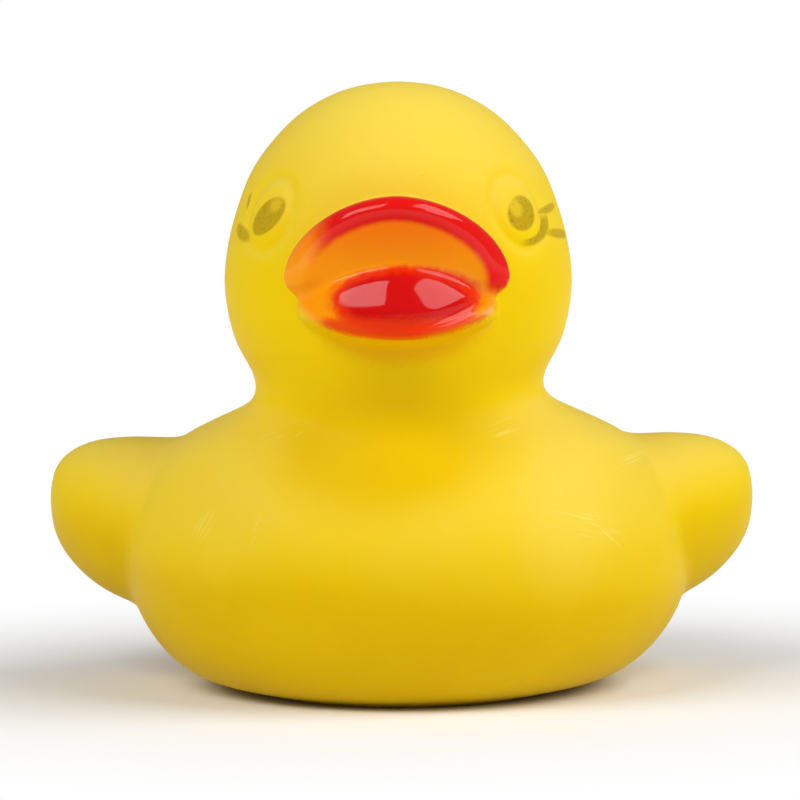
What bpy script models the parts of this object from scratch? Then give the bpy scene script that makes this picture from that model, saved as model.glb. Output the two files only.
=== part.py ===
"""Rubber duck: one hollow soft-vinyl casting, about 51 mm across its wings.

Run with: blender --background --python part.py

The duck looks along -Y, stands on z = 0 and is symmetric about x = 0. Its body and
head are one loft of egg-shaped rings. The wings, the tail and the bill are forms of
their own, fused into the loft and blended at the roots, as they are in the mould.
A smaller copy of the forms is the hollow, which opens through the air hole.
"""

import math
from collections import namedtuple

import bmesh
import bpy
from mathutils import Vector

MM = 0.001

# Main sizes
WING_SPAN = 51.0 * MM
LENGTH = 47.6 * MM
HEIGHT = 43.5 * MM
# The forms below are drawn in millimetres for these sizes and follow them when they change
X_UNIT = WING_SPAN / 51.0
Y_UNIT = LENGTH / 47.6
Z_UNIT = HEIGHT / 43.5

# Shell: the wall, the hollow's margins at its floor, crown and tips in drawn millimetres, and
# the air hole
WALL = 1.8 * MM
HOLLOW_FLOOR_MARGIN = 0.36
HOLLOW_FLOOR_RISE = 1.2
HOLLOW_CROWN_MARGIN = 0.6
HOLLOW_TIP_MARGIN = 0.6
AIR_HOLE_DIAMETER = 3.0 * MM
AIR_HOLE_Y = 6.0 * MM
AIR_HOLE_DEPTH = 8.0 * MM
AIR_HOLE_CENTRE_Z = 1.0 * MM
# Block that cuts the base flat
UNDERSIDE_BLOCK_SIDE = 60.0 * MM
UNDERSIDE_BLOCK_DEPTH = 4.0 * MM

# Blending: voxel sizes, smoothing passes and the share of triangles kept
BODY_VOXEL = 0.5 * MM
BODY_PASSES = 16
BILL_VOXEL = 0.25 * MM
BILL_PASSES = 8
OUTER_VOXEL = 0.35 * MM
OUTER_PASSES = 3
OUTER_KEPT = 0.05
HOLLOW_VOXEL = 0.9 * MM
HOLLOW_PASSES = 5
HOLLOW_KEPT = 0.10

# Rings of the body and head: height, half-width, front and back, in millimetres
Ring = namedtuple("Ring", "z half_width front back")
CORE_RINGS = (
    Ring(-0.90, 9.6, -12.0, 12.0),
    Ring(-0.35, 10.2, -12.9, 12.8),
    Ring(0.20, 11.6, -14.5, 14.2),
    Ring(0.75, 14.4, -16.3, 15.8),
    Ring(1.60, 16.1, -17.5, 16.8),
    Ring(2.90, 17.6, -18.7, 17.8),
    Ring(4.70, 18.9, -19.8, 18.7),
    Ring(6.80, 19.8, -20.4, 19.2),
    Ring(9.20, 20.0, -20.6, 19.3),
    Ring(11.8, 19.6, -20.3, 18.8),
    Ring(14.4, 18.6, -19.5, 17.4),
    Ring(16.6, 17.3, -18.4, 14.9),
    Ring(18.1, 15.85, -17.5, 12.2),
    Ring(19.3, 13.75, -16.9, 9.4),
    Ring(20.2, 11.95, -16.7, 7.0),
    Ring(21.2, 10.35, -16.8, 5.4),
    Ring(22.8, 10.25, -17.3, 4.9),
    Ring(25.4, 11.6, -18.3, 5.5),
    Ring(28.9, 12.3, -18.9, 6.0),
    Ring(32.0, 12.05, -18.8, 5.9),
    Ring(34.8, 11.3, -18.1, 5.2),
    Ring(37.4, 10.25, -16.9, 4.1),
    Ring(39.7, 8.55, -15.1, 2.3),
    Ring(41.4, 6.75, -13.2, 0.4),
    Ring(42.7, 4.45, -10.9, -2.0),
    Ring(43.35, 2.3, -8.7, -4.2),
)
CROWN = (-6.4, 43.62)

# Stations of a wing along X: centre in Y and Z, half-depth and half-height, in millimetres
Station = namedtuple("Station", "along y z half_a half_b")
WING_STATIONS = (
    Station(12.0, 0.3, 11.45, 7.4, 6.2),
    Station(17.0, 1.2, 11.55, 7.3, 6.2),
    Station(20.0, 2.6, 11.8, 6.5, 5.9),
    Station(22.5, 4.0, 12.2, 5.3, 5.1),
    Station(24.4, 5.1, 12.6, 3.8, 3.7),
    Station(25.4, 5.8, 12.8, 2.2, 2.1),
)
WING_TIP = (25.8, 6.1, 12.8)

# Stations of the tail along its length: centre, half-width and half-thickness, in millimetres
TAIL_STATIONS = (
    Station(0.0, 9.0, 8.6, 11.5, 6.5),
    Station(1.0, 14.5, 11.6, 9.8, 5.8),
    Station(2.0, 18.6, 14.6, 7.6, 4.4),
    Station(3.0, 21.2, 17.2, 5.3, 3.1),
    Station(4.0, 22.4, 19.1, 3.4, 1.9),
    Station(5.0, 23.05, 20.1, 1.7, 1.0),
)
TAIL_TIP = (23.4, 20.6)

# Upper bill: an upturned scoop
BILL_Z = 30.4
BILL_HALF_WIDTH = 7.65
BILL_ARCH_HEIGHT = 5.8
BILL_ARCH_FULLNESS = 1.8
BILL_LOWER_DROP = 2.6
BILL_LOWER_BACK = 2.5
RIM_CORNER_Y = -18.4
RIM_MIDDLE_Y = -22.7
FACE_CORNER_Y = -16.1
FACE_MIDDLE_Y = -17.8
# Section of the scoop from its root out to the rim and in to the mouth:
# reach from the bill's centre, and how far it stands off the face towards the rim
BILL_SECTION = (
    (0.86, -0.70),
    (0.92, -0.20),
    (0.955, 0.20),
    (0.985, 0.55),
    (1.015, 0.80),
    (1.035, 0.94),
    (1.025, 1.06),
    (0.99, 1.145),
    (0.93, 1.19),
    (0.87, 1.21),
    (0.80, 1.12),
    (0.71, 0.95),
    (0.56, 0.81),
    (0.38, 0.76),
    (0.18, 0.75),
)
# Lower bill: a pad with the outline of a lens and a domed front
PAD_Z = 28.3
PAD_HALF_WIDTH = 6.9
PAD_RISE = 3.35
PAD_DROP = 1.95
PAD_UPPER_FULLNESS = 1.55
PAD_LOWER_FULLNESS = 2.2
PAD_ROOT_MIDDLE_Y = -20.5
PAD_ROOT_CORNER_Y = -17.9
PAD_FRONT_MIDDLE_Y = -23.85
PAD_FRONT_CORNER_Y = -20.4
PAD_SLANT = 0.9
# Section of the pad from its root to its front: reach from its centre, and how far forward
# its upper and its lower half stand there
PAD_SECTION = (
    (1.04, -1.00, -1.00),
    (1.02, -0.40, -0.40),
    (1.00, 0.00, 0.00),
    (0.965, 0.32, 0.28),
    (0.90, 0.53, 0.52),
    (0.81, 0.65, 0.70),
    (0.69, 0.73, 0.83),
    (0.54, 0.80, 0.92),
    (0.36, 0.88, 0.97),
    (0.18, 0.95, 0.995),
)

VINYL_YELLOW = (0.84, 0.62, 0.03, 1.0)


def catmull_rom(rows, position):
    """The row of numbers at a fractional position along a list of rows."""
    last = len(rows) - 1
    index = min(int(position), last - 1)
    t = position - index
    p0, p1, p2, p3 = (
        rows[max(index - 1, 0)],
        rows[index],
        rows[index + 1],
        rows[min(index + 2, last)],
    )
    return [
        0.5 * (2 * b + (c - a) * t + (2 * a - 5 * b + 4 * c - d) * t**2
               + (3 * b - a - 3 * c + d) * t**3)
        for a, b, c, d in zip(p0, p1, p2, p3)
    ]


def resampled(rows, per_row):
    """Rows read from the smooth curve through the given ones, per_row of them to each gap."""
    steps = (len(rows) - 1) * per_row
    return [catmull_rom(rows, step / per_row) for step in range(steps + 1)]


def at(x, y, z):
    """A point given in drawn millimetres."""
    return Vector((x * X_UNIT, y * Y_UNIT, z * Z_UNIT))


def loft(name, rings, tips, collection):
    """A closed body through the rings, each end drawn to its tip or capped flat."""
    bm = bmesh.new()
    loops = []
    for ring in rings:
        verts = bmesh.ops.create_circle(bm, segments=len(ring), radius=MM)["verts"]
        for vert, point in zip(verts, ring):
            vert.co = point
        loops.append(verts)
    for lower, upper in zip(loops, loops[1:]):
        pair = set(lower) | set(upper)
        edges = {e for v in pair for e in v.link_edges
                 if (e.verts[0] in lower and e.verts[1] in lower)
                 or (e.verts[0] in upper and e.verts[1] in upper)}
        bmesh.ops.bridge_loops(bm, edges=list(edges))
    for verts, tip in zip((loops[0], loops[-1]), tips):
        ends = set(verts)
        rim = [e for v in verts for e in v.link_edges if e.other_vert(v) in ends]
        cap = bmesh.ops.contextual_create(bm, geom=list(set(rim)))["faces"]
        if tip is not None:
            bmesh.ops.poke(bm, faces=cap)["verts"][0].co = tip
    bmesh.ops.recalc_face_normals(bm, faces=bm.faces)
    return finished(name, bm, collection)


def finished(name, bm, collection):
    mesh = bpy.data.meshes.new(name)
    bm.to_mesh(mesh)
    bm.free()
    obj = bpy.data.objects.new(name, mesh)
    collection.objects.link(obj)
    return obj


def make_core(name, inset, collection, segments=64):
    """Egg-shaped rings of the body and head, shrunk inwards by the inset."""
    top = CROWN[1] - inset
    floor = inset + HOLLOW_FLOOR_MARGIN
    rings = []
    for z, half_width, front, back in resampled(CORE_RINGS, 3):
        if inset and not floor < z < top - HOLLOW_CROWN_MARGIN:
            continue
        middle = (front + back) / 2
        ring = []
        for step in range(segments):
            angle = math.tau * step / segments
            depth = back - inset - middle if math.sin(angle) > 0 else middle - front - inset
            ring.append(at((half_width - inset) * math.cos(angle), middle + depth * math.sin(angle), z))
        rings.append(ring)
    bottom = at(0, 0, floor + HOLLOW_FLOOR_RISE) if inset else None
    return loft(name, rings, (bottom, at(0, CROWN[0], top)), collection)


def make_wing(name, side, inset, collection, segments=40):
    """A thick lobe that leaves the body's side and sweeps out and back to a round tip."""
    rings = []
    reach = WING_TIP[0] - inset
    for x, y, z, half_depth, half_height in resampled(WING_STATIONS, 4):
        half_depth, half_height = half_depth - inset, half_height - inset
        if inset and x > reach - HOLLOW_TIP_MARGIN:
            break
        rings.append([
            at(side * x, y + half_depth * math.cos(a), z + half_height * math.sin(a))
            for a in (math.tau * step / segments for step in range(segments))
        ])
    tip = at(side * reach, WING_TIP[1], WING_TIP[2])
    return loft(name, rings, (None, tip), collection)


def make_tail(name, inset, collection, segments=40):
    """A flat cone that rises behind the back."""
    rings = []
    rows = resampled(TAIL_STATIONS, 4)
    for index, (_, y, z, half_width, half_thickness) in enumerate(rows):
        before, after = rows[max(index - 1, 0)], rows[min(index + 1, len(rows) - 1)]
        along = Vector((0, after[1] - before[1], after[2] - before[2])).normalized()
        across = Vector((0, -along.z, along.y))
        half_width, half_thickness = half_width - inset, half_thickness - inset
        if min(half_width, half_thickness) < HOLLOW_TIP_MARGIN:
            break
        rings.append([
            at(*(Vector((half_width * math.cos(a), y, z)) + across * half_thickness * math.sin(a)))
            for a in (math.tau * step / segments for step in range(segments))
        ])
    tip = None if inset else at(0, TAIL_TIP[0], TAIL_TIP[1])
    return loft(name, rings, (None, tip), collection)


def outline(angle, rise, drop, rise_fullness, drop_fullness):
    """A point of an arched outline: how far across as a share, and how high."""
    above, below = max(math.sin(angle), 0.0), max(-math.sin(angle), 0.0)
    power = 2 / (drop_fullness if below else rise_fullness)
    across = math.copysign(abs(math.cos(angle)) ** power, math.cos(angle))
    return across, rise * above**power - drop * below**power


def between(middle, corner, across):
    """A place in depth that moves from the middle's to the corner's as the form turns back."""
    return middle + (corner - middle) * across**2


def scoop_point(angle, reach, stand):
    """A point of the upper bill, from one corner over the arch to the other and back below."""
    across, up = outline(angle, BILL_ARCH_HEIGHT, BILL_LOWER_DROP, BILL_ARCH_FULLNESS, 2.0)
    aside = across * reach
    face = between(FACE_MIDDLE_Y, FACE_CORNER_Y, aside)
    rim = between(RIM_MIDDLE_Y, RIM_CORNER_Y, aside) + BILL_LOWER_BACK * max(-math.sin(angle), 0.0)
    return at(BILL_HALF_WIDTH * aside, face + (rim - face) * stand, BILL_Z + reach * up)


def pad_point(angle, reach, upper, lower):
    """A point of the lower bill, from one corner over the top to the other and back below."""
    stand = lower + (upper - lower) * max(math.sin(angle), 0.0)
    across, up = outline(angle, PAD_RISE, PAD_DROP, PAD_UPPER_FULLNESS, PAD_LOWER_FULLNESS)
    aside = across * reach
    root = between(PAD_ROOT_MIDDLE_Y, PAD_ROOT_CORNER_Y, aside)
    front = between(PAD_FRONT_MIDDLE_Y, PAD_FRONT_CORNER_Y, aside)
    slant = PAD_SLANT * max(-math.sin(angle), 0.0) * max(-stand, 0.0)
    return at(PAD_HALF_WIDTH * aside, root + (front - root) * stand, PAD_Z + reach * up - slant)


def make_bill_form(name, place, section, front, collection, segments=96):
    """A form of the bill: rings placed along its section, drawn to its front or left flat."""
    rings = [
        [place(math.tau * step / segments, *row) for step in range(segments)]
        for row in resampled(section, 3)
    ]
    return loft(name, rings, (None, front), collection)


def fused(name, forms, collection):
    """One object that holds all the forms' meshes, and the forms removed."""
    bm = bmesh.new()
    for form in forms:
        bm.from_mesh(form.data)
        bpy.data.objects.remove(form)
    return finished(name, bm, collection)


def add_skin(obj, voxel, passes):
    """Fuses overlapping forms into one skin and softens its creases."""
    remesh = obj.modifiers.new("fuse", "REMESH")
    remesh.mode = "VOXEL"
    remesh.voxel_size = voxel
    smooth = obj.modifiers.new("soften", "SMOOTH")
    smooth.factor = 0.5
    smooth.iterations = passes


def add_thinning(obj, kept):
    thin = obj.modifiers.new("thin", "DECIMATE")
    thin.ratio = kept


def add_union(obj, other):
    union = obj.modifiers.new("join_" + other.name, "BOOLEAN")
    union.operation = "UNION"
    union.solver = "EXACT"
    union.object = other


def add_cut(obj, cutter):
    cut = obj.modifiers.new("cut_" + cutter.name, "BOOLEAN")
    cut.operation = "DIFFERENCE"
    cut.solver = "EXACT"
    cut.object = cutter


def as_helper(obj):
    obj.hide_render = True
    obj.display_type = "WIRE"


def make_underside_cutter(collection):
    """A block below z = 0, which leaves the duck a flat face to stand on."""
    bm = bmesh.new()
    bmesh.ops.create_cube(bm, size=1.0)
    size = (UNDERSIDE_BLOCK_SIDE, UNDERSIDE_BLOCK_SIDE, UNDERSIDE_BLOCK_DEPTH)
    bmesh.ops.scale(bm, vec=size, verts=bm.verts)
    bmesh.ops.translate(bm, vec=(0, 0, -UNDERSIDE_BLOCK_DEPTH / 2), verts=bm.verts)
    return finished("underside_cutter", bm, collection)


def make_air_hole_cutter(collection):
    bm = bmesh.new()
    bmesh.ops.create_cone(
        bm, cap_ends=True, segments=24, radius1=AIR_HOLE_DIAMETER / 2,
        radius2=AIR_HOLE_DIAMETER / 2, depth=AIR_HOLE_DEPTH)
    bmesh.ops.translate(bm, vec=(0, AIR_HOLE_Y, AIR_HOLE_CENTRE_Z), verts=bm.verts)
    return finished("air_hole_cutter", bm, collection)


def vinyl():
    material = bpy.data.materials.new("yellow_vinyl")
    material.use_nodes = True
    shader = material.node_tree.nodes["Principled BSDF"]
    shader.inputs["Base Color"].default_value = VINYL_YELLOW
    shader.inputs["Roughness"].default_value = 0.4
    shader.inputs["Metallic"].default_value = 0.0
    return material


def new_collection(name):
    collection = bpy.data.collections.new(name)
    bpy.context.scene.collection.children.link(collection)
    return collection


def main():
    for obj in list(bpy.data.objects):
        bpy.data.objects.remove(obj)
    duck = new_collection("rubber_duck")
    helpers = new_collection("rubber_duck_cutters")

    body = fused("duck_body", [
        make_core("core", 0.0, duck),
        make_wing("wing_left", -1, 0.0, duck),
        make_wing("wing_right", 1, 0.0, duck),
        make_tail("tail", 0.0, duck),
    ], duck)
    bill = fused("bill", [
        make_bill_form("upper_bill", scoop_point, BILL_SECTION, None, helpers),
        make_bill_form("lower_bill", pad_point, PAD_SECTION, at(0, PAD_FRONT_MIDDLE_Y, PAD_Z), helpers),
    ], helpers)
    wall = WALL / MM
    hollow = fused("hollow", [
        make_core("core_hollow", wall, helpers),
        make_wing("wing_hollow_left", -1, wall, helpers),
        make_wing("wing_hollow_right", 1, wall, helpers),
        make_tail("tail_hollow", wall, helpers),
    ], helpers)
    add_skin(body, BODY_VOXEL, BODY_PASSES)
    add_skin(bill, BILL_VOXEL, BILL_PASSES)
    add_union(body, bill)
    add_skin(body, OUTER_VOXEL, OUTER_PASSES)
    add_thinning(body, OUTER_KEPT)
    add_skin(hollow, HOLLOW_VOXEL, HOLLOW_PASSES)
    add_thinning(hollow, HOLLOW_KEPT)
    as_helper(bill)

    for cutter in (hollow, make_underside_cutter(helpers), make_air_hole_cutter(helpers)):
        as_helper(cutter)
        add_cut(body, cutter)
    body.data.materials.append(vinyl())
    body.data.shade_smooth()


main()
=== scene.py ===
"""Rubber duck: the vinyl skin, its paint and prints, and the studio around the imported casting.

The duck looks along -Y and stands on z = 0. Sizes in the classes are millimetres.
"""

from __future__ import annotations

import logging
import math
from collections.abc import Sequence
from dataclasses import dataclass, field
from enum import Enum

import bmesh
import bpy
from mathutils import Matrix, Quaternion, Vector
from mathutils.bvhtree import BVHTree

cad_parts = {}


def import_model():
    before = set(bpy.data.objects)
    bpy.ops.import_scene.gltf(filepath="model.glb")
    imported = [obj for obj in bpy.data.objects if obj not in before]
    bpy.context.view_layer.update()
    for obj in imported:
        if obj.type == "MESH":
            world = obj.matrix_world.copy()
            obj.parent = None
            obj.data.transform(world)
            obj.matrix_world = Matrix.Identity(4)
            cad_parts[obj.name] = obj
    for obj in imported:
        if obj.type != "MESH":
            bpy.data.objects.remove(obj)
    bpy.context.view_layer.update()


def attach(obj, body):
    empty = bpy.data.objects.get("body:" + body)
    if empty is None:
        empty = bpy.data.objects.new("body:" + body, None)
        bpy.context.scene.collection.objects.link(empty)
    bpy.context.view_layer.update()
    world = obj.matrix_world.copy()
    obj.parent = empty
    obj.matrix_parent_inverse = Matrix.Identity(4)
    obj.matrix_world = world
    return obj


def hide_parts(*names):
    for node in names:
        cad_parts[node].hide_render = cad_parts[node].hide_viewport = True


MM = 0.001
# How far the hollow's last rings stay from its tips, in millimetres
TIP_MARGIN = 0.6
LOG = logging.getLogger("rubber_duck")

Row = Sequence[float]
Ring = list[Vector]
Colour = tuple[float, float, float]


class Side(Enum):
    """The two sides of the duck, as the camera sees them."""

    LEFT = -1
    RIGHT = 1


# Mesh helpers


def catmull_rom(rows: Sequence[Row], position: float) -> list[float]:
    """Reads the smooth curve through rows of numbers.

    Args:
        rows: the rows that the curve passes through.
        position: where to read it, in rows from the first.

    Returns:
        The row of numbers at that place.
    """
    last = len(rows) - 1
    index = min(int(position), last - 1)
    t = position - index
    before, start = rows[max(index - 1, 0)], rows[index]
    end, after = rows[index + 1], rows[min(index + 2, last)]
    return [
        0.5 * (2 * b + (c - a) * t + (2 * a - 5 * b + 4 * c - d) * t**2 + (3 * b - a - 3 * c + d) * t**3)
        for a, b, c, d in zip(before, start, end, after)
    ]


def resampled(rows: Sequence[Row], per_row: int) -> list[list[float]]:
    """Reads more rows from the smooth curve through the given ones.

    Args:
        rows: the rows that the curve passes through.
        per_row: how many rows each gap gives.

    Returns:
        The closer rows, the given ones among them.
    """
    steps = (len(rows) - 1) * per_row
    return [catmull_rom(rows, step / per_row) for step in range(steps + 1)]


def turns(segments: int) -> list[float]:
    """Angles spaced evenly round a full turn."""
    return [math.tau * step / segments for step in range(segments)]


def as_object(name: str, bm: bmesh.types.BMesh) -> bpy.types.Object:
    """Turns a bmesh into an object at the origin and frees the bmesh."""
    mesh = bpy.data.meshes.new(name)
    bm.to_mesh(mesh)
    bm.free()
    obj = bpy.data.objects.new(name, mesh)
    bpy.context.scene.collection.objects.link(obj)
    return obj


def loft(name: str, rings: Sequence[Ring], tips: tuple[Vector | None, Vector | None]) -> bpy.types.Object:
    """Makes a closed form through rings of points.

    Args:
        name: the object's name.
        rings: the rings in order, all with the same number of points.
        tips: the points that the two ends are drawn to, or None for a flat cap.

    Returns:
        The form's object.
    """
    bm = bmesh.new()
    loops = []
    for ring in rings:
        verts = bmesh.ops.create_circle(bm, segments=len(ring), radius=MM)["verts"]
        for vert, point in zip(verts, ring):
            vert.co = point
        loops.append(verts)
    edges = [[e for v in loop for e in v.link_edges] for loop in loops]
    rims = [list(dict.fromkeys(loop)) for loop in edges]
    for lower, upper in zip(rims, rims[1:]):
        bmesh.ops.bridge_loops(bm, edges=lower + upper)
    for rim, tip in ((rims[0], tips[0]), (rims[-1], tips[1])):
        cap = bmesh.ops.contextual_create(bm, geom=rim)["faces"]
        if tip is not None:
            bmesh.ops.poke(bm, faces=cap)["verts"][0].co = tip
    bmesh.ops.recalc_face_normals(bm, faces=bm.faces)
    return as_object(name, bm)


def fused(name: str, forms: Sequence[bpy.types.Object]) -> bpy.types.Object:
    """Gathers the meshes of several forms in one object and removes the forms."""
    bm = bmesh.new()
    for form in forms:
        bm.from_mesh(form.data)
        bpy.data.objects.remove(form)
    return as_object(name, bm)


def made_real(obj: bpy.types.Object) -> bpy.types.Object:
    """Applies an object's modifiers to its mesh."""
    graph = bpy.context.evaluated_depsgraph_get()
    mesh = bpy.data.meshes.new_from_object(obj.evaluated_get(graph))
    obj.modifiers.clear()
    old = obj.data
    obj.data = mesh
    bpy.data.meshes.remove(old)
    return obj


def skinned(obj: bpy.types.Object, voxel: float, passes: int) -> bpy.types.Object:
    """Fuses overlapping forms into one skin and softens its creases.

    Args:
        obj: the object that holds the forms.
        voxel: the skin's mesh size in millimetres.
        passes: how often each point moves halfway to the middle of its neighbours.

    Returns:
        The same object, with the skin as its mesh.
    """
    remesh = obj.modifiers.new("fuse", "REMESH")
    remesh.mode = "VOXEL"
    remesh.voxel_size = voxel * MM
    smooth = obj.modifiers.new("soften", "SMOOTH")
    smooth.factor = 0.5
    smooth.iterations = passes
    return made_real(obj)


def smoothstep(low: float, high: float, value: float) -> float:
    """Rises softly from 0 at low to 1 at high."""
    t = min(max((value - low) / (high - low), 0.0), 1.0)
    return t * t * (3 - 2 * t)


# Forms of the duck


@dataclass
class Core:
    """Body and head: one loft of egg-shaped rings.

    Each ring's row is its height, half-width, front and back. Each row of lean is a height and how far
    the rings there sit to the right. The floor's margin and rise shape the hollow's underside.
    """

    rings: tuple[Row, ...] = (
        (-0.90, 9.6, -12.0, 12.0),
        (-0.35, 10.2, -12.9, 12.8),
        (0.20, 11.6, -14.5, 14.2),
        (0.75, 14.4, -16.3, 15.8),
        (1.60, 16.1, -17.5, 16.8),
        (2.90, 17.6, -18.7, 17.8),
        (4.70, 18.9, -19.8, 18.7),
        (6.80, 19.8, -20.4, 19.2),
        (9.20, 20.0, -20.6, 19.3),
        (11.8, 19.6, -20.3, 18.8),
        (14.4, 18.6, -19.5, 17.4),
        (16.6, 17.3, -18.4, 14.9),
        (18.1, 15.85, -17.5, 12.2),
        (19.3, 13.75, -16.9, 9.4),
        (20.2, 11.95, -16.7, 7.0),
        (21.2, 10.35, -16.8, 5.4),
        (22.8, 10.25, -17.3, 4.9),
        (25.4, 11.6, -18.3, 5.5),
        (28.9, 12.3, -18.9, 6.0),
        (32.0, 12.05, -18.8, 5.9),
        (34.8, 11.3, -18.1, 5.2),
        (37.4, 10.25, -16.9, 4.1),
        (39.7, 8.55, -15.1, 2.3),
        (41.4, 6.75, -13.2, 0.4),
        (42.7, 4.45, -10.9, -2.0),
        (43.35, 2.3, -8.7, -4.2),
    )
    crown: tuple[float, float] = (-6.4, 43.58)
    lean: tuple[Row, ...] = (
        (-1.0, 0.35),
        (6.5, 0.50),
        (10.0, 0.25),
        (20.4, 0.30),
        (22.0, 0.0),
        (44.0, 0.0),
    )
    floor_margin: float = 0.36
    floor_rise: float = 1.2
    segments: int = 160
    rings_per_row: int = 6

    def aside(self, z: float) -> float:
        """How far the slightly lopsided casting sits to the right at a height."""
        for (low, start), (high, end) in zip(self.lean, self.lean[1:]):
            if z <= high:
                return start + (end - start) * smoothstep(low, high, z)
        return 0.0

    def build(self, name: str, wall: float = 0.0) -> bpy.types.Object:
        """Makes the form, or with a wall the hollow inside it."""
        rings = []
        for z, half_width, front, back in resampled(self.rings, self.rings_per_row):
            middle = (front + back) / 2
            if wall and not wall + self.floor_margin < z < self.crown[1] - wall - TIP_MARGIN:
                continue
            ring = []
            aside = self.aside(z)
            for angle in turns(self.segments):
                depth = back - wall - middle if math.sin(angle) > 0 else middle - front - wall
                across = aside + (half_width - wall) * math.cos(angle)
                ring.append(MM * Vector((across, middle + depth * math.sin(angle), z)))
            rings.append(ring)
        top = MM * Vector((0, self.crown[0], self.crown[1] - wall))
        floor = rings[0][0].z + self.floor_rise * MM
        return loft(name, rings, (Vector((0, 0, floor)) if wall else None, top))


@dataclass
class Wing:
    """A thick lobe that leaves the body's side and sweeps out and back to a round tip.

    Each row is a station's place across, its centre in Y and Z, half-depth and half-height.
    """

    side: Side
    stations: tuple[Row, ...] = (
        (12.0, 0.3, 11.45, 7.4, 6.2),
        (17.0, 1.2, 11.55, 7.3, 6.2),
        (20.0, 2.6, 11.8, 6.5, 5.9),
        (22.5, 4.0, 12.2, 5.3, 5.05),
        (24.4, 5.1, 12.6, 3.75, 3.6),
        (25.3, 5.8, 12.8, 2.2, 2.1),
    )
    tip: tuple[float, float, float] = (25.6, 6.1, 12.8)
    segments: int = 96

    def build(self, name: str, wall: float = 0.0) -> bpy.types.Object:
        """Makes the form, or with a wall the hollow inside it."""
        side = self.side.value
        rings = []
        for x, y, z, half_depth, half_height in resampled(self.stations, 8):
            half_depth, half_height = half_depth - wall, half_height - wall
            if wall and x > self.tip[0] - wall - TIP_MARGIN:
                break
            rings.append([
                MM * Vector((side * x, y + half_depth * math.cos(a), z + half_height * math.sin(a)))
                for a in turns(self.segments)
            ])
        tip = MM * Vector((side * (self.tip[0] - wall), self.tip[1], self.tip[2]))
        return loft(name, rings, (None, tip))


@dataclass
class Tail:
    """A flat cone that rises behind the back.

    Each row is a station's centre in Y and Z, half-width and half-thickness.
    """

    stations: tuple[Row, ...] = (
        (9.0, 8.6, 11.5, 6.5),
        (14.5, 11.6, 9.8, 5.8),
        (18.6, 14.6, 7.6, 4.4),
        (21.2, 17.2, 5.3, 3.1),
        (22.36, 19.1, 3.4, 1.88),
        (23.02, 20.1, 1.7, 1.0),
    )
    tip: tuple[float, float] = (23.36, 20.6)
    segments: int = 96

    def build(self, name: str, wall: float = 0.0) -> bpy.types.Object:
        """Makes the form, or with a wall the hollow inside it."""
        rings = []
        rows = resampled(self.stations, 8)
        for index, (y, z, half_width, half_thickness) in enumerate(rows):
            before, after = rows[max(index - 1, 0)], rows[min(index + 1, len(rows) - 1)]
            along = Vector((0, after[0] - before[0], after[1] - before[1])).normalized()
            up = Vector((0, -along.z, along.y))
            half_width, half_thickness = half_width - wall, half_thickness - wall
            if min(half_width, half_thickness) < TIP_MARGIN:
                break
            rings.append([
                MM * (Vector((half_width * math.cos(a), y, z)) + up * half_thickness * math.sin(a))
                for a in turns(self.segments)
            ])
        tip = None if wall else MM * Vector((0, *self.tip))
        return loft(name, rings, (None, tip))


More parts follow.
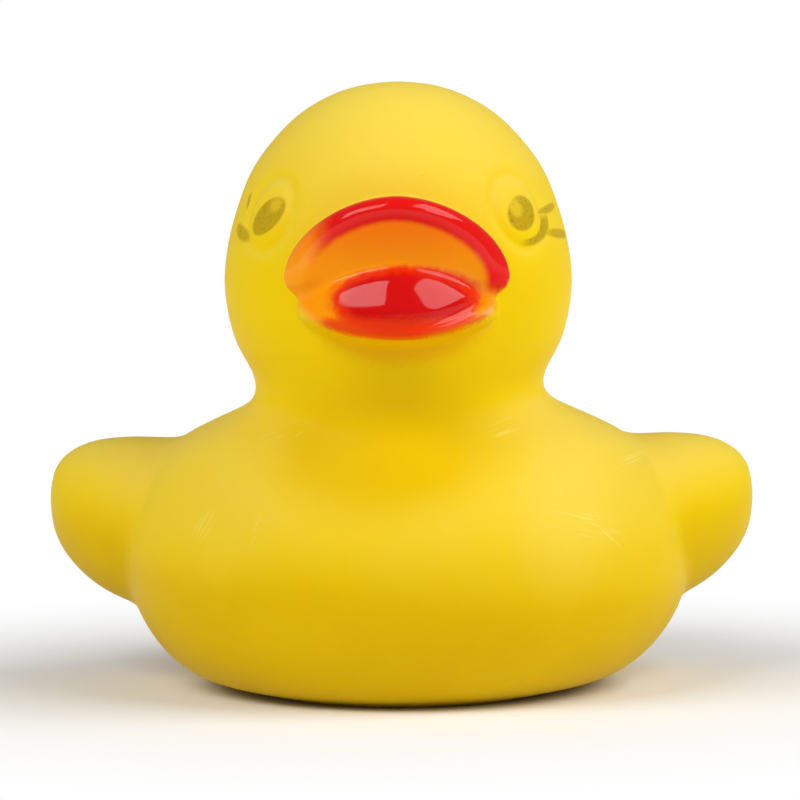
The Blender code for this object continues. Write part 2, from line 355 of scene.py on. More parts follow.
@dataclass
class Bill:
    """The bill: the upturned scoop with its round rim, and the domed pad of the lower bill in it."""

    centre_z: float = 30.4
    half_width: float = 7.65
    arch_height: float = 5.8
    lower_drop: float = 2.6
    lower_back: float = 2.5
    rim_corner_y: float = -18.4
    rim_middle_y: float = -22.65
    face_corner_y: float = -16.1
    face_middle_y: float = -17.8
    fullness: float = 1.8
    section: tuple[Row, ...] = (
        (0.86, -0.70),
        (0.92, -0.20),
        (0.955, 0.20),
        (0.985, 0.55),
        (1.015, 0.80),
        (1.035, 0.94),
        (1.025, 1.06),
        (0.99, 1.145),
        (0.93, 1.19),
        (0.87, 1.21),
        (0.80, 1.12),
        (0.71, 0.95),
        (0.56, 0.81),
        (0.38, 0.76),
        (0.18, 0.75),
    )
    pad_z: float = 28.3
    pad_half_width: float = 6.9
    pad_rise: float = 3.35
    pad_drop: float = 1.95
    pad_fullness: tuple[float, float] = (1.55, 2.2)
    pad_root_y: tuple[float, float] = (-20.5, -17.9)
    pad_front_y: tuple[float, float] = (-23.7, -20.4)
    pad_slant: float = 0.9
    pad_section: tuple[Row, ...] = (
        (1.04, -1.00, -1.00),
        (1.02, -0.40, -0.40),
        (1.00, 0.00, 0.00),
        (0.965, 0.32, 0.28),
        (0.90, 0.53, 0.52),
        (0.81, 0.65, 0.70),
        (0.69, 0.73, 0.83),
        (0.54, 0.80, 0.92),
        (0.36, 0.88, 0.97),
        (0.18, 0.95, 0.995),
    )
    segments: int = 192
    voxel: float = 0.15
    passes: int = 22

    def point(self, angle: float, reach: float, stand: float) -> Vector:
        """A point of the scoop.

        Args:
            angle: runs from one corner over the arch to the other, and back below.
            reach: distance from the bill's centre as a share of its outline.
            stand: 0 on the face and 1 at the rim.

        Returns:
            The point, in metres.
        """
        rise, below = max(math.sin(angle), 0.0), max(-math.sin(angle), 0.0)
        power = 1.0 if below else 2 / self.fullness
        across = math.copysign(abs(math.cos(angle)) ** power, math.cos(angle))
        up = self.arch_height * rise**power - self.lower_drop * below
        aside = (across * reach) ** 2
        face = self.face_middle_y + (self.face_corner_y - self.face_middle_y) * aside
        rim = self.rim_middle_y + (self.rim_corner_y - self.rim_middle_y) * aside + self.lower_back * below
        y = face + (rim - face) * stand
        return MM * Vector((self.half_width * reach * across, y, self.centre_z + reach * up))

    def pad_point(self, angle: float, reach: float, upper: float, lower: float) -> Vector:
        """A point of the lower bill, a lens-shaped pad with a domed front.

        Args:
            angle: runs from one corner over the top to the other, and back below.
            reach: distance from the pad's centre as a share of its outline.
            upper: 0 at the outline and 1 at the front, for its upper half.
            lower: the same for its lower half.

        Returns:
            The point, in metres.
        """
        rise, below = max(math.sin(angle), 0.0), max(-math.sin(angle), 0.0)
        stand = lower + (upper - lower) * rise
        power = 2 / (self.pad_fullness[1] if below else self.pad_fullness[0])
        across = math.copysign(abs(math.cos(angle)) ** power, math.cos(angle)) * reach
        up = (self.pad_rise * rise**power - self.pad_drop * below**power) * reach
        root, front = (
            middle + (corner - middle) * across**2 for middle, corner in (self.pad_root_y, self.pad_front_y)
        )
        slant = self.pad_slant * below * max(-stand, 0.0)
        y = root + (front - root) * stand
        return MM * Vector((self.pad_half_width * across, y, self.pad_z + up - slant))

    def build(self, name: str) -> bpy.types.Object:
        """Makes the whole bill as one skin."""
        scoop, pad = (
            [[place(angle, *row) for angle in turns(self.segments)] for row in resampled(rows, 5)]
            for place, rows in ((self.point, self.section), (self.pad_point, self.pad_section))
        )
        front = MM * Vector((0, self.pad_front_y[0], self.pad_z))
        forms = [loft("scoop", scoop, (None, None)), loft("pad", pad, (None, front))]
        return skinned(fused(name, forms), self.voxel, self.passes)


@dataclass
class LipFold:
    """The fold along the edge of the lower bill: a shallow valley with a raised lip below it.

    Its line rises from the middle to the corners, and the fold fades towards the left. It lies in front
    of back_y.
    """

    middle_z: float = 26.75
    corner_z: float = 28.60
    corner_x: float = 6.5
    lip: float = 0.42
    lip_width: float = 0.38
    valley: float = 0.22
    valley_width: float = 0.42
    valley_rise: float = 0.80
    back_y: float = -18.5
    faded: float = 0.35

    def lift(self, point: Vector) -> float:
        """How far a point of the bill's front moves forward, in millimetres."""
        if point.y > self.back_y or abs(point.x) > self.corner_x + 0.5:
            return 0.0
        line = self.middle_z + (self.corner_z - self.middle_z) * (point.x / self.corner_x) ** 2
        above = point.z - line
        share = self.faded + (1 - self.faded) * smoothstep(-3.0, 3.0, point.x)
        lip = self.lip * math.exp(-((above / self.lip_width) ** 2))
        valley = self.valley * math.exp(-(((above - self.valley_rise) / self.valley_width) ** 2))
        return share * (lip - valley)


@dataclass
class EyeSocket:
    """A shallow moulded oval: a groove round a low eyeball."""

    centre: tuple[float, float, float]
    half_width: float = 2.5
    half_height: float = 2.7
    lean: float = 0.0
    groove: float = 0.15
    groove_width: float = 0.17
    swell: float = 0.10

    def lift(self, point: Vector, outward: Vector) -> float:
        """How far a point of the face moves outwards, in millimetres.

        Args:
            point: the point, in millimetres.
            outward: the face's direction at the point.

        Returns:
            The distance, below 0 in the groove.
        """
        offset = point - Vector(self.centre)
        if offset.length > 2 * max(self.half_width, self.half_height):
            return 0.0
        right = Vector((-outward.y, outward.x, 0)).normalized()
        across, up = offset.dot(right), offset.dot(outward.cross(right))
        c, s = math.cos(self.lean), math.sin(self.lean)
        reach = math.hypot((across * c + up * s) / self.half_width, (up * c - across * s) / self.half_height)
        groove = math.exp(-(((reach - 1) / self.groove_width) ** 2))
        return self.swell * smoothstep(1.0, 0.3, reach) - self.groove * groove


@dataclass
class DuckSkin:
    """The duck's whole vinyl skin, outside and inside, as one closed shell.

    Fine forms are pressed in front of face_back and above face_low, the eyes above eyes_low and outside
    eyes_inner. Paint can lie in front of paint_back, between paint_low and paint_high and up to
    paint_half_width from the middle.
    """

    core: Core = field(default_factory=Core)
    wings: tuple[Wing, Wing] = (Wing(Side.LEFT), Wing(Side.RIGHT))
    tail: Tail = field(default_factory=Tail)
    bill: Bill = field(default_factory=Bill)
    eyes: tuple[EyeSocket, ...] = (
        EyeSocket(centre=(-9.0, -13.5, 34.7), lean=-0.30),
        EyeSocket(centre=(8.5, -13.9, 34.8), lean=0.22),
    )
    lip_fold: LipFold = field(default_factory=LipFold)
    wall: float = 1.8
    air_hole_diameter: float = 3.0
    air_hole_y: float = 6.0
    air_hole_depth: float = 8.0
    block_side: float = 60.0
    block_depth: float = 4.0
    body_voxel: float = 0.3
    body_passes: int = 44
    skin_voxel: float = 0.2
    skin_passes: int = 9
    hollow_voxel: float = 0.9
    hollow_passes: int = 5
    kept: float = 0.41
    face_back: float = -4.0
    face_low: float = 24.0
    eyes_low: float = 30.0
    eyes_inner: float = 4.0
    paint_back: float = -14.0
    paint_low: float = 24.0
    paint_high: float = 39.0
    paint_half_width: float = 10.0

    def build(self) -> bpy.types.Object:
        """Makes the skin with its paint guide, ready to be dressed."""
        body = skinned(self.forms("body", 0.0), self.body_voxel, self.body_passes)
        face = BVHTree.FromObject(body, bpy.context.evaluated_depsgraph_get())
        skin = skinned(fused("duck_skin", [body, self.bill.build("bill")]), self.skin_voxel, self.skin_passes)
        self.press_fine_forms(skin)
        thin = skin.modifiers.new("thin", "DECIMATE")
        thin.ratio = self.kept
        made_real(skin)
        self.open(skin)
        self.mark_stand(skin, face)
        skin.data.shade_smooth()
        return skin

    def forms(self, name: str, wall: float) -> bpy.types.Object:
        """Gathers body, head, wings and tail, shrunk inwards by the wall."""
        return fused(name, [
            self.core.build("core", wall),
            *(wing.build("wing", wall) for wing in self.wings),
            self.tail.build("tail", wall),
        ])

    def press_fine_forms(self, skin: bpy.types.Object) -> None:
        """Moulds the eye sockets into the face and the fold into the lower bill."""
        moved = {}
        for vert in skin.data.vertices:
            point = vert.co / MM
            if point.y > self.face_back or point.z < self.face_low:
                continue
            if point.z > self.eyes_low and abs(point.x) > self.eyes_inner:
                outward = vert.normal.copy()
                lift = sum(eye.lift(point, outward) for eye in self.eyes)
                moved[vert.index] = vert.co + outward * MM * lift
            elif point.z < self.eyes_low and vert.normal.y < 0:
                moved[vert.index] = vert.co + Vector((0, -MM * self.lip_fold.lift(point), 0))
        for index, place in moved.items():
            skin.data.vertices[index].co = place

    def open(self, skin: bpy.types.Object) -> None:
        """Cuts the hollow, the flat underside and the air hole."""
        hollow = skinned(self.forms("hollow", self.wall), self.hollow_voxel, self.hollow_passes)
        base = bmesh.new()
        bmesh.ops.create_cube(base, size=1.0)
        size = MM * Vector((self.block_side, self.block_side, self.block_depth))
        bmesh.ops.scale(base, vec=size, verts=base.verts)
        bmesh.ops.translate(base, vec=(0, 0, -size.z / 2), verts=base.verts)
        hole = bmesh.new()
        radius, depth = self.air_hole_diameter / 2 * MM, self.air_hole_depth * MM
        bmesh.ops.create_cone(hole, cap_ends=True, segments=48, radius1=radius, radius2=radius, depth=depth)
        bmesh.ops.translate(hole, vec=(0, self.air_hole_y * MM, MM), verts=hole.verts)
        for cutter in (hollow, as_object("base", base), as_object("air_hole", hole)):
            cut = skin.modifiers.new("cut", "BOOLEAN")
            cut.operation = "DIFFERENCE"
            cut.solver = "MANIFOLD"
            cut.object = cutter
            made_real(skin)
            bpy.data.objects.remove(cutter)

    def mark_stand(self, skin: bpy.types.Object, face: BVHTree) -> None:
        """Writes to each point how far it stands off the unpainted face, in millimetres."""
        stand = skin.data.attributes.new("stand", "FLOAT", "POINT")
        for vert in skin.data.vertices:
            point = vert.co / MM
            if point.y > self.paint_back or not self.paint_low < point.z < self.paint_high:
                continue
            if abs(point.x) > self.paint_half_width:
                continue
            near, normal, _, distance = face.find_nearest(vert.co)
            stand.data[vert.index].value = math.copysign(distance / MM, (vert.co - near).dot(normal))


# Finishes


class Field:
    """A number that changes over a surface, worked out by Math nodes behind Python's operators."""

    def __init__(self, surface: Surface, socket: bpy.types.NodeSocket) -> None:
        """Wraps a socket of the surface's node tree."""
        self.surface = surface
        self.socket = socket

    def math(self, operation: str, *others: Field | float) -> Field:
        """Joins this number and others by one Math node."""
        node = self.surface.node("ShaderNodeMath", {"operation": operation}, dict(enumerate((self, *others))))
        return Field(self.surface, node.outputs[0])

    def __add__(self, other: Field | float) -> Field:
        """This number plus another."""
        return self.math("ADD", other)

    def __sub__(self, other: Field | float) -> Field:
        """This number less another."""
        return self.math("SUBTRACT", other)

    def __mul__(self, other: Field | float) -> Field:
        """This number times another."""
        return self.math("MULTIPLY", other)

    def __pow__(self, other: float) -> Field:
        """This number raised to a power."""
        return self.math("POWER", other)

    def __neg__(self) -> Field:
        """This number with its sign turned."""
        return self.math("MULTIPLY", -1.0)

    def __abs__(self) -> Field:
        """This number without its sign."""
        return self.math("ABSOLUTE")

    __radd__ = __add__
    __rmul__ = __mul__

    def __rsub__(self, other: float) -> Field:
        """Another number less this one."""
        return -self + other

    def least(self, other: Field | float) -> Field:
        """The smaller of two numbers."""
        return self.math("MINIMUM", other)

    def most(self, other: Field | float) -> Field:
        """The larger of two numbers."""
        return self.math("MAXIMUM", other)

    def ramp(self, low: float, high: float) -> Field:
        """Rises softly from 0 where this number is low to 1 where it is high."""
        settings = {"interpolation_type": "SMOOTHSTEP"}
        if low < high:
            values = {"Value": self, "From Min": low, "From Max": high, "To Min": 0.0, "To Max": 1.0}
        else:
            values = {"Value": self, "From Min": high, "From Max": low, "To Min": 1.0, "To Max": 0.0}
        return Field(self.surface, self.surface.node("ShaderNodeMapRange", settings, values).outputs[0])


class Surface:
    """A material under construction, with its coordinates in millimetres."""

    def __init__(self, name: str) -> None:
        """Makes an empty material and its coordinates."""
        self.material = bpy.data.materials.new(name)
        self.material.use_nodes = True
        self.tree = self.material.node_tree
        self.shader = self.tree.nodes["Principled BSDF"]
        place = self.node("ShaderNodeTexCoord").outputs["Object"]
        scaled = self.node("ShaderNodeVectorMath", {"operation": "SCALE"}, {0: place, "Scale": 1 / MM})
        self.place = scaled.outputs[0]
        self.x, self.y, self.z = self.parts(self.place)

    def node(
        self,
        kind: str,
        settings: dict[str, object] | None = None,
        values: dict[str | int, object] | None = None,
    ) -> bpy.types.Node:
        """Adds a node.

        Args:
            kind: the node's type.
            settings: its settings, which are set first.
            values: numbers, colours or links for its sockets, by name or place.

        Returns:
            The node.
        """
        node = self.tree.nodes.new(kind)
        for key, value in (settings or {}).items():
            setattr(node, key, value)
        for key, value in (values or {}).items():
            self.feed(node.inputs[key], value)
        return node

    def feed(self, socket: bpy.types.NodeSocket, value: object) -> None:
        """Links or sets one socket."""
        if isinstance(value, Field):
            self.tree.links.new(value.socket, socket)
        elif isinstance(value, bpy.types.NodeSocket):
            self.tree.links.new(value, socket)
        elif isinstance(value, tuple) and socket.type == "RGBA":
            socket.default_value = (*value, 1.0)
        else:
            socket.default_value = value

    def parts(self, vector: bpy.types.NodeSocket) -> tuple[Field, Field, Field]:
        """Splits a vector into its three numbers."""
        node = self.node("ShaderNodeSeparateXYZ", None, {0: vector})
        return tuple(Field(self, node.outputs[axis]) for axis in range(3))

    def joined(self, x: Field | float, y: Field | float, z: Field | float) -> bpy.types.NodeSocket:
        """Joins three numbers into a vector."""
        return self.node("ShaderNodeCombineXYZ", None, {0: x, 1: y, 2: z}).outputs[0]

    def attribute(self, name: str) -> Field:
        """Reads one of the mesh's own numbers."""
        return Field(self, self.node("ShaderNodeAttribute", {"attribute_name": name}).outputs["Fac"])

    def noise(self, grain: float, detail: float = 2.0, place: bpy.types.NodeSocket | None = None) -> Field:
        """Soft random variation from 0 to 1.

        Args:
            grain: the size of its larger spots in millimetres.
            detail: how many finer layers it has.
            place: the coordinates that it reads, if not the surface's own.

        Returns:
            The number, about 0.5 on average.
        """
        values = {"Vector": place or self.place, "Scale": 1 / grain, "Detail": detail}
        return Field(self, self.node("ShaderNodeTexNoise", None, values).outputs[0])

    def specks(self, spacing: float, size: float, share: float) -> Field:
        """Small round spots.

        Args:
            spacing: the typical distance between places where a spot may be, in millimetres.
            size: a spot's radius in millimetres.
            share: the share of the places that have one.

        Returns:
            1 on a spot and 0 elsewhere.
        """
        node = self.node("ShaderNodeTexVoronoi", None, {"Vector": self.place, "Scale": 1 / spacing})
        chosen, _, _ = self.parts(node.outputs["Color"])
        near = Field(self, node.outputs["Distance"]) * spacing
        return near.ramp(size, size * 0.5) * chosen.ramp(share + 0.01, share)

    def oval(self, across: Field, up: Field, centre: Row, half: Row, lean: float = 0.0) -> Field:
        """Distance from an oval's centre, 1 on its outline.

        Args:
            across: the coordinate that runs to the right.
            up: the coordinate that runs upwards.
            centre: the oval's centre on the two.
            half: its half-sizes.
            lean: how far it is turned to the left, in radians.

        Returns:
            The distance as a share of the oval.
        """
        c, s = math.cos(lean), math.sin(lean)
        right, rise = across - centre[0], up - centre[1]
        u = (right * c + rise * s) * (1 / half[0])
        v = (rise * c - right * s) * (1 / half[1])
        return (u * u + v * v) ** 0.5

    def mix(self, share: Field | float, under: object, over: object) -> bpy.types.NodeSocket:
        """Lays one colour over another by a share from 0 to 1."""
        settings = {"data_type": "RGBA", "clamp_factor": True}
        return self.node("ShaderNodeMix", settings, {0: share, 6: under, 7: over}).outputs[2]

    def bump(self, height: Field, depth: float) -> bpy.types.NodeSocket:
        """A normal from a height of 0 to 1 that stands for a depth in millimetres."""
        values = {"Height": height, "Distance": depth * MM, "Strength": 1.0}
        return self.node("ShaderNodeBump", None, values).outputs[0]


@dataclass(frozen=True)
class Vinyl:
    """Soft satin vinyl, slightly mottled, with painted shade low on the body where it faces sideways or down.

    A painted sheen lies on what faces up, save in the painted shadow under the bill, and a paler patch on the
    right of the breast is a painted highlight with some dust haze.
    The breast carries painted shadow under the bill too. Light scatters in the skin to scatter_depth, in
    millimetres.
    """

    body: Colour = (0.85, 0.59, 0.0)
    deep_tone_and_shade: Colour = (0.72, 0.46, 0.0)
    sheen_and_dust: Colour = (0.91, 0.71, 0.14)
    roughness: float = 0.46
    specular: float = 0.05
    scatter: float = 0.2
    scatter_radius: Colour = (1.0, 0.55, 0.08)
    scatter_depth: float = 1.2

    def colour(self, surface: Surface) -> bpy.types.NodeSocket:
        """Works out the vinyl's colour, with its painted shade, painted shadow and painted sheen."""
        normal = surface.node("ShaderNodeNewGeometry").outputs["Normal"]
        _, _, rise = surface.parts(normal)
        mottle = surface.noise(9.0, 3.0)
        # Painted shade: deep tone low on the body where it faces sideways or down, and a painted shadow on
        # the breast under the bill; the mottle adds random deep tone.
        low = surface.z.ramp(20.0, 8.0) * (rise + (mottle - 0.5) * 0.4).ramp(0.35, -0.2)
        bill_shadow_reach = surface.oval(surface.x, surface.z, (-1.0, 18.5), (9.0, 5.5)) + (mottle - 0.5) * 0.5
        shade = (low * 0.8).most(bill_shadow_reach.ramp(1.2, 0.4) * surface.y.ramp(-6.0, -10.0) * 0.6)
        base = surface.mix((mottle.ramp(0.35, 0.7) * 0.2 + shade).least(1.0), self.body, self.deep_tone_and_shade)
        # Painted sheen: paler where the skin faces up, left out of the painted shadow under the bill.
        sheen_and_dust_share = (rise + (mottle - 0.5) * 0.5).ramp(-0.1, 1.0) * 0.55
        sheen_and_dust_share = sheen_and_dust_share * bill_shadow_reach.ramp(0.5, 1.3).most(surface.y.ramp(-10.0, -6.0))
        # Painted highlight with some dust haze: a paler patch on the right of the breast.
        highlight_and_dust = surface.oval(surface.x, surface.z, (12.0, 13.5), (4.5, 6.0), -0.2) + (mottle - 0.5) * 0.8
        sheen_and_dust_share = sheen_and_dust_share + highlight_and_dust.ramp(1.2, 0.2) * surface.y.ramp(-6.0, -9.0) * 0.22
        return surface.mix(sheen_and_dust_share, base, self.sheen_and_dust)


@dataclass(frozen=True)
class BillPaint:
    """Glossy red and orange, sprayed on the bill through a mask; the dome's core takes a darker red as
    painted shade.

    The upper bill's outline is an arch over arch_z, with its half-width, rise and power.
    """

    red: Colour = (0.75, 0.004, 0.002)
    shaded_red: Colour = (0.62, 0.001, 0.001)
    scarlet: Colour = (0.82, 0.035, 0.001)
    orange: Colour = (0.96, 0.20, 0.0)
    amber: Colour = (0.98, 0.32, 0.0)
    wet_roughness: float = 0.12
    dry_roughness: float = 0.40
    wet_coat: float = 0.5
    dry_coat: float = 0.06
    coat_roughness: float = 0.06
    arch_z: float = 30.4
    arch_half_width: float = 7.65
    arch_rise: float = 5.8
    arch_power: float = 1.8

    def wetness(self, surface: Surface) -> Field:
        """How thick and glossy the paint lies: full on the rim and the dome, little on the dry spray."""
        x, z = surface.x, surface.z
        dome = surface.oval(x, z, (0.65, 29.9), (5.6, 1.8)).ramp(1.05, 0.8)
        rim = self.arch(surface).ramp(0.76, 0.86) * z.ramp(30.4, 31.8)
        lip = x.ramp(1.0, 3.0) * x.ramp(7.0, 6.6) * z.ramp(29.2, 28.7) * z.ramp(26.0, 26.5)
        return dome.most(rim).most(lip)

    def arch(self, surface: Surface) -> Field:
        """Distance from the bill's centre as a share of its arched outline."""
        across = abs(surface.x) * (1 / self.arch_half_width)
        up = (surface.z - self.arch_z).most(0.0) * (1 / self.arch_rise)
        return (across**self.arch_power + up**self.arch_power) ** (1 / self.arch_power)

    def share(self, surface: Surface) -> Field:
        """How much paint lies on a place, from 0 to 1."""
        x, z = surface.x, surface.z
        spray = surface.noise(0.14, 3.0) - 0.5
        drift = surface.noise(1.5, 2.0) - 0.5
        stand = surface.attribute("stand").ramp(0.18, 0.42)
        lower = surface.oval(x, z, (0.1, 30.4), (7.9, 4.15)) + spray * 0.16 + drift * 0.10
        mist = surface.oval(x, z, (0.4, 29.2), (6.6, 4.4)) + spray * 0.4
        mist = mist.ramp(1.2, 0.9) * z.ramp(28.0, 27.0) * surface.y.ramp(-15.5, -16.5) * 0.22
        return (stand * lower.ramp(1.06, 0.92).most(z.ramp(29.0, 29.8))).most(mist)

    def colour(self, surface: Surface) -> bpy.types.NodeSocket:
        """Works out the paint's colour."""
        x, z = surface.x, surface.z
        grain = surface.noise(0.6, 4.0)
        drift = surface.noise(2.0, 2.0) - 0.5
        band = surface.mix(z.ramp(34.5, 31.0), self.orange, self.amber)
        edge = self.arch(surface) - (x * (1 / self.arch_half_width)) ** 2.0 * 0.11 + (grain - 0.5) * 0.02
        rim = edge.ramp(0.70, 0.78) * (x + (grain - 0.5) * 0.8).ramp(-6.4, -4.2)
        band = surface.mix(rim * z.ramp(29.0, 30.0), band, self.red)
        dome = surface.oval(x, z, (0.65, 29.2), (5.1, 2.3)) + (grain - 0.5) * 0.16
        band = surface.mix(dome.ramp(1.12, 0.92), band, self.scarlet)
        # Painted shade: the dome's core takes a darker copy of the red paint.
        band = surface.mix(dome.ramp(1.0, 0.72), band, self.shaded_red)
        speckle = surface.noise(0.16, 3.0) - 0.5
        lip = (z.ramp(28.6, 27.4) + speckle * 0.8) * (x + drift * 2).ramp(-6.8, -4.4)
        return surface.mix(lip.ramp(0.1, 0.9) * 0.9, band, self.scarlet)


@dataclass(frozen=True)
class Mark:
    """One shape on the face, such as a print: a leaning oval, by its place round the head and its height."""

    centre: tuple[float, float]
    half: tuple[float, float]
    lean: float = 0.0
    strength: float = 0.85
    edge: float = 0.10

    def share(self, surface: Surface, round_head: Field) -> Field:
        """How strongly the mark covers a place, from 0 to 1."""
        reach = surface.oval(round_head, surface.z, self.centre, self.half, self.lean)
        return reach.ramp(1 + self.edge, 1 - self.edge) * self.strength


@dataclass(frozen=True)
class EyePrint:
    """The worn olive prints of the eyes: pupils, lashes and the slipped lower lid."""

    ink: Colour = (0.42, 0.26, 0.004)
    dark: Colour = (0.24, 0.14, 0.002)
    head_axis_y: float = -6.45
    head_radius: float = 11.5
    marks: tuple[Mark, ...] = (
        Mark((-10.25, 34.5), (1.80, 1.10), 0.58),
        Mark((-13.9, 35.4), (0.28, 0.55), 0.2, 0.7, 0.3),
        Mark((-13.6, 33.2), (1.35, 0.45), -0.30, 0.75, 0.3),
        Mark((9.8, 34.6), (1.50, 1.15), 0.35),
        Mark((13.9, 34.7), (1.7, 0.27), 0.10, 0.75, 0.3),
        Mark((14.7, 32.9), (2.3, 0.34), -0.09, 0.75, 0.3),
    )
    worn: tuple[Mark, ...] = (
        Mark((-9.6, 35.3), (0.60, 0.50), 0.3, 0.55, 0.5),
        Mark((9.3, 35.0), (0.62, 0.62), 0.2, 0.60, 0.4),
    )
    lid_outer: Mark = Mark((9.95, 34.3), (3.2, 1.97), 0.0, 0.85, 0.05)
    lid_inner: Mark = Mark((9.55, 34.45), (2.75, 1.66), 0.0, 1.0, 0.05)

    def round_head(self, surface: Surface) -> Field:
        """The distance round the head from the bill's middle, in millimetres."""
        forward = self.head_axis_y - surface.y
        return surface.x.math("ARCTAN2", forward) * self.head_radius

    def share(self, surface: Surface) -> Field:
        """How much ink lies on a place, from 0 to 1."""
        round_head = self.round_head(surface)
        total = self.marks[0].share(surface, round_head)
        for mark in self.marks[1:]:
            total = total.most(mark.share(surface, round_head))
        lid = self.lid_outer.share(surface, round_head) * (1 - self.lid_inner.share(surface, round_head))
        corner = (round_head - 9.6).ramp(-0.8, 0.8) * surface.z.ramp(34.6, 33.9)
        total = total.most(lid * corner)
        for mark in self.worn:
            total = total * (1 - mark.share(surface, round_head))
        grain = surface.noise(0.22, 3.0)
        return total * (grain * 0.7 + 0.55).least(1.0) * surface.z.ramp(30.5, 31.0) * surface.y.ramp(2.0, 0.0)

    def colour(self, surface: Surface) -> bpy.types.NodeSocket:
        """Works out the ink's colour."""
        return surface.mix(surface.noise(0.3, 3.0).ramp(0.5, 0.75), self.ink, self.dark)


@dataclass(frozen=True)
class Scuff:
    """A patch of fine pale scratches on the front, by its centre across and up."""

    centre: tuple[float, float]
    half: tuple[float, float]
    lean: float
    strength: float = 0.5

    def share(self, surface: Surface) -> Field:
        """How strongly the scratches show at a place, from 0 to 1."""
        c, s = math.cos(self.lean), math.sin(self.lean)
        along = surface.x * c + surface.z * s
        aside = surface.z * c - surface.x * s
        streaks = surface.noise(1.0, 3.0, surface.joined(along * 0.35, 0.0, aside * 5.0)).ramp(0.52, 0.64)
        patch = surface.oval(surface.x, surface.z, self.centre, self.half, self.lean).ramp(1.0, 0.4)
        return streaks * patch * surface.y.ramp(-2.0, -4.0) * self.strength


@dataclass(frozen=True)
class DuckFinish:
    """The duck's whole finish: vinyl with painted shade and sheen, bill paint, eye prints, scuffs, specks and
    a dark olive spot by the bill's right corner.
    """

    vinyl: Vinyl = Vinyl()
    paint: BillPaint = BillPaint()
    eyes: EyePrint = EyePrint()
    scuff_colour: Colour = (0.93, 0.76, 0.18)
    speck_colour: Colour = (0.12, 0.06, 0.01)
    dark_spot: Mark = Mark((6.35, 28.9), (0.40, 0.75), 0.2, 0.35, 0.6)
    scuffs: tuple[Scuff, ...] = (
        Scuff((12.9, 13.1), (3.4, 1.5), -0.35, 0.5),
        Scuff((14.9, 12.0), (1.5, 0.6), -0.75, 0.5),
        Scuff((16.6, 16.8), (2.2, 0.5), 0.10, 0.5),
        Scuff((-13.7, 12.9), (1.6, 0.7), 1.05, 0.4),
        Scuff((-9.6, 12.9), (1.6, 0.8), 1.05, 0.4),
        Scuff((-7.9, 19.4), (2.4, 0.8), 0.45, 0.45),
        Scuff((7.5, 19.6), (1.8, 1.0), 0.3, 0.4),
    )

    def material(self) -> bpy.types.Material:
        """Makes the material."""
        surface = Surface("yellow_vinyl_painted")
        colour = self.vinyl.colour(surface)
        scuffed = self.scuffs[0].share(surface)
        for scuff in self.scuffs[1:]:
            scuffed = scuffed.most(scuff.share(surface))
        colour = surface.mix(scuffed, colour, self.scuff_colour)
        ink = self.eyes.share(surface)
        colour = surface.mix(ink, colour, self.eyes.colour(surface))
        # A darker olive spot at the bill's right corner, in the ink's colour.
        dark_spot = self.dark_spot.share(surface, self.eyes.round_head(surface)) * surface.y.ramp(-14.0, -15.0)
        colour = surface.mix(dark_spot * surface.noise(0.5, 3.0).ramp(0.3, 0.6), colour, self.eyes.ink)
        paint = self.paint.share(surface)
        colour = surface.mix(paint, colour, self.paint.colour(surface))
        specks = surface.specks(1.8, 0.045, 0.12)
        colour = surface.mix(specks * 0.7, colour, self.speck_colour)
        grain = surface.noise(0.25, 3.0)
        satin = grain * 0.10 + (self.vinyl.roughness - 0.05) + scuffed * 0.15
        wet = self.paint.wetness(surface)
        painted = self.paint.dry_roughness - wet * (self.paint.dry_roughness - self.paint.wet_roughness)
        roughness = satin * (1 - paint) + paint * painted
        height = surface.noise(0.18, 2.0) * (1 - paint * 0.9) * 0.3 + surface.noise(3.5, 2.0)
        shader = surface.shader
        surface.feed(shader.inputs["Base Color"], colour)
        surface.feed(shader.inputs["Roughness"], roughness)
        coat = wet * (self.paint.wet_coat - self.paint.dry_coat) + self.paint.dry_coat
        surface.feed(shader.inputs["Coat Weight"], paint * coat)
        surface.feed(shader.inputs["Normal"], surface.bump(height, 0.02))
        shader.inputs["Coat Roughness"].default_value = self.paint.coat_roughness
        shader.inputs["Specular IOR Level"].default_value = self.vinyl.specular
        shader.inputs["Subsurface Weight"].default_value = self.vinyl.scatter
        shader.inputs["Subsurface Radius"].default_value = self.vinyl.scatter_radius
        shader.inputs["Subsurface Scale"].default_value = self.vinyl.scatter_depth * MM
        return surface.material


# Studio


@dataclass(frozen=True)
class SoftBox:
    """A rectangular lamp that faces the duck, by its direction from it and its turn, in degrees."""

    name: str
    azimuth: float
    elevation: float
    distance: float
    width: float
    height: float
    radiance: float
    roll: float = 0.0
    aim: tuple[float, float, float] = (0.0, -0.005, 0.022)

    def build(self) -> bpy.types.Object:
        """Makes the lamp."""
        lamp = bpy.data.lights.new(self.name, "AREA")
        lamp.shape = "RECTANGLE"
        lamp.size, lamp.size_y = self.width, self.height
        lamp.energy = math.pi * self.width * self.height * self.radiance
        obj = bpy.data.objects.new(self.name, lamp)
        away = direction(self.azimuth, self.elevation)
        obj.location = Vector(self.aim) + away * self.distance
        turn = away.to_track_quat("Z", "Y") @ Quaternion((0, 0, 1), math.radians(self.roll))
        obj.rotation_euler = turn.to_euler()
        bpy.context.scene.collection.objects.link(obj)
        return obj


def direction(azimuth: float, elevation: float) -> Vector:
    """The direction from the duck towards an azimuth and elevation in degrees, 0 being its front."""
    a, e = math.radians(azimuth), math.radians(elevation)
    return Vector((math.sin(a) * math.cos(e), -math.cos(a) * math.cos(e), math.sin(e)))


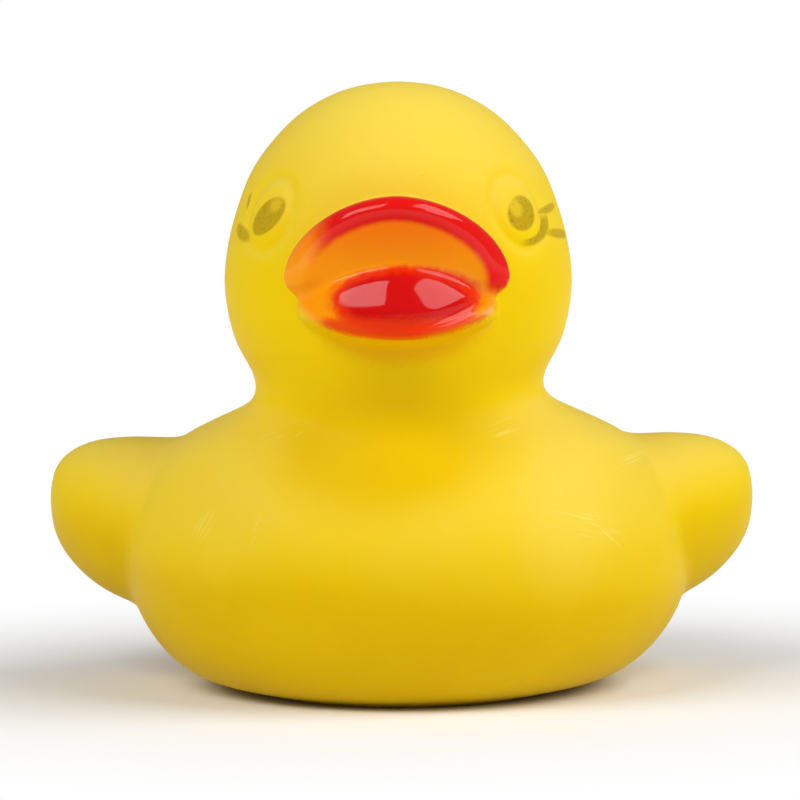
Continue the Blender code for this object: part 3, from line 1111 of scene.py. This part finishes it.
@dataclass(frozen=True)
class Studio:
    """The white table, the two soft boxes, the pale surroundings and the camera.

    The table turns from plain to white between white_from and white_to, in millimetres from its middle.
    """

    lamps: tuple[SoftBox, ...] = (
        SoftBox("key", 68.0, 38.0, 0.50, 0.46, 0.34, 3.95, 20.0),
        SoftBox("fill", -52.0, 38.0, 0.50, 0.48, 0.21, 4.7, 18.0),
    )
    surroundings: float = 0.24
    floor_radius: float = 3.0
    floor_colour: Colour = (0.93, 0.93, 0.93)
    floor_roughness: float = 0.9
    floor_specular: float = 0.1
    white_from: float = 22.0
    white_to: float = 62.0
    camera_azimuth: float = 0.45
    camera_elevation: float = 5.0
    camera_distance: float = 0.50
    camera_roll: float = 0.5
    lens: float = 313.8
    aim: tuple[float, float, float] = (0.0, 0.0, 0.0204)

    def build(self) -> None:
        """Makes everything round the duck."""
        self.build_floor()
        for lamp in self.lamps:
            lamp.build()
        world = bpy.data.worlds.new("surroundings")
        world.use_nodes = True
        world.node_tree.nodes["Background"].inputs["Color"].default_value = (1.0, 1.0, 1.0, 1.0)
        world.node_tree.nodes["Background"].inputs["Strength"].default_value = self.surroundings
        bpy.context.scene.world = world
        self.build_camera()
        bpy.context.scene.view_settings.view_transform = "Standard"

    def build_floor(self) -> None:
        """Makes the table: white where it is seen far off, and plain with the shadow near the duck."""
        bm = bmesh.new()
        bmesh.ops.create_circle(bm, cap_ends=True, segments=96, radius=self.floor_radius)
        floor = as_object("floor", bm)
        surface = Surface("floor_white")
        surface.feed(surface.shader.inputs["Base Color"], self.floor_colour)
        surface.shader.inputs["Roughness"].default_value = self.floor_roughness
        surface.shader.inputs["Specular IOR Level"].default_value = self.floor_specular
        path = surface.node("ShaderNodeLightPath")
        seen = Field(surface, path.outputs["Is Camera Ray"])
        for ray in ("Is Glossy Ray", "Is Transmission Ray"):
            seen = seen.most(Field(surface, path.outputs[ray]))
        away = (surface.x * surface.x + surface.y * surface.y) ** 0.5
        far = away.ramp(self.white_from, self.white_to)
        white = surface.node("ShaderNodeEmission", None, {"Color": (1.0, 1.0, 1.0), "Strength": 1.0})
        mixed = surface.node(
            "ShaderNodeMixShader", None, {0: seen * far, 1: surface.shader.outputs[0], 2: white.outputs[0]})
        surface.tree.links.new(mixed.outputs[0], surface.tree.nodes["Material Output"].inputs["Surface"])
        floor.data.materials.append(surface.material)

    def build_camera(self) -> None:
        """Makes the camera at the photograph's angle."""
        camera = bpy.data.cameras.new("camera")
        camera.lens = self.lens
        camera.sensor_width = 36.0
        camera.clip_start, camera.clip_end = 0.01, 20.0
        obj = bpy.data.objects.new("camera", camera)
        away = direction(self.camera_azimuth, self.camera_elevation)
        obj.location = Vector(self.aim) + away * self.camera_distance
        look = (-away).to_track_quat("-Z", "Y").to_matrix().to_4x4()
        turn = look.copy()
        roll = math.radians(self.camera_roll)
        right, up = look.col[0].to_3d(), look.col[1].to_3d()
        turn.col[0].xyz = right * math.cos(roll) - up * math.sin(roll)
        turn.col[1].xyz = up * math.cos(roll) + right * math.sin(roll)
        obj.rotation_euler = turn.to_euler()
        bpy.context.scene.collection.objects.link(obj)
        bpy.context.scene.camera = obj


def main() -> None:
    """Builds the duck and the studio, and reports each piece."""
    logging.basicConfig(level=logging.INFO, format="%(message)s")
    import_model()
    skin = DuckSkin().build()
    skin.data.materials.clear()
    skin.data.materials.append(DuckFinish().material())
    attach(skin, "root")
    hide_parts("duck_body")
    LOG.info("duck_skin: %d points, %d faces", len(skin.data.vertices), len(skin.data.polygons))
    Studio().build()
    LOG.info("studio: floor, lamps and camera")


if __name__ == "__main__":
    main()
